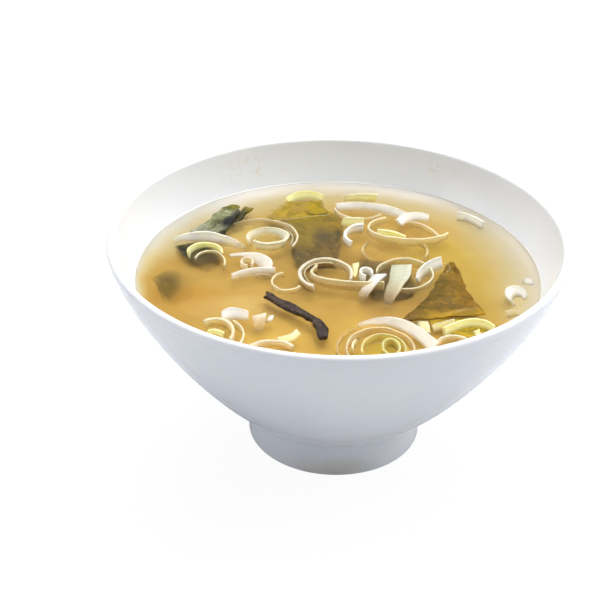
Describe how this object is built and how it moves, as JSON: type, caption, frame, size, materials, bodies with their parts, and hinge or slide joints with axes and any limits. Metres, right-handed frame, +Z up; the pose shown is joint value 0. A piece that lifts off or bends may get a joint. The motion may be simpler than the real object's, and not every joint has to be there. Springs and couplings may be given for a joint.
{
  "type": "bowl of miso soup",
  "caption": "White footed porcelain bowl filled with golden miso soup, with wakame leaves and sliced leek afloat.",
  "frame": {"origin": "centre of the round foot, on the surface the bowl stands on", "axes": "+Z up, +X to the right of the person who eats, +Y away from that person; the camera of the picture looks along +Y from above"},
  "size_m": [0.19, 0.19, 0.097],
  "materials": {
    "porcelain": "smooth glossy white glaze",
    "broth": "wet, murky golden broth with a glossy surface",
    "leek_white": "wet white leek, fine fibres",
    "leek_cream": "wet cream leek, translucent",
    "leek_yellow": "wet pale yellow leek, fine fibres",
    "leek_green": "wet pale green leek, translucent",
    "leek_pink": "wet pinkish cream leek soaked in broth",
    "wakame": "wet olive seaweed, mottled",
    "wakame_dark": "wet dark grey-green seaweed, mottled",
    "wakame_pale": "wet yellow-olive seaweed, thin enough to let light through",
    "kelp": "wet dark purple-brown seaweed"
  },
  "bodies": {
    "root": {"bowl": "porcelain", "soup": "broth", "leek_long_white": "leek_white", "leek_yellow_arc": "leek_yellow", "leek_thin_ring_left": "leek_cream", "leek_green_curl": "leek_green", "leek_outer_ring": "leek_pink", "leek_small_ring_left": "leek_pink", "leek_membrane": "leek_cream", "leek_pink_strip": "leek_pink", "leek_open_ring": "leek_cream", "leek_white_strip_middle": "leek_white", "leek_pale_leaf_strip": "leek_green", "leek_white_strip_right": "leek_white", "leek_right_curl_end": "leek_cream", "leek_spiral_outer": "leek_white", "leek_spiral_front": "leek_yellow", "leek_yellow_bit_middle": "leek_yellow", "leek_small_curl_middle": "leek_white", "leek_ring_right": "leek_green", "leek_yellow_band_back": "leek_yellow", "leek_olive_bit": "leek_yellow", "leek_white_band_back": "leek_white", "leek_yellow_strip_back": "leek_yellow", "leek_thin_arc_back": "leek_pink", "leek_two_tone_bit": "leek_yellow", "leek_white_curl_back": "leek_white", "leek_yellow_blob_back": "leek_yellow", "leek_white_strip_back": "leek_white", "leek_loop_tail_back": "leek_pink", "leek_large_loop_back": "leek_cream", "leek_cream_band_right": "leek_white", "leek_white_curl_right": "leek_white", "leek_white_bit_right": "leek_white", "leek_cream_bit_right": "leek_cream", "leek_broad_yellow_arc": "leek_yellow", "leek_yellow_strip_front": "leek_yellow", "leek_yellow_square": "leek_yellow", "leek_pink_arc_front": "leek_pink", "leek_yellow_bit_front": "leek_yellow", "leek_wide_white_arc": "leek_white", "leek_ring_front": "leek_pink", "leek_green_ring_front": "leek_green", "leek_inner_ring_front": "leek_cream", "leek_small_strip_front": "leek_cream", "leek_white_block": "leek_white", "leek_sinking_strip": "leek_white", "leek_tiny_bit_front": "leek_white", "leek_ring_front_left": "leek_cream", "leek_thin_ring_front_left": "leek_cream", "leek_yellow_bit_front_left": "leek_yellow", "leek_yellow_white_band": "leek_yellow", "leek_pink_band_front": "leek_pink", "wakame_folded_leaf": "wakame_dark", "wakame_frond": "wakame_dark", "kelp_strip": "kelp", "wakame_triangle": "wakame", "wakame_large_leaf": "wakame_pale", "wakame_dark_leaf": "wakame_dark"}
  },
  "joints": []
}
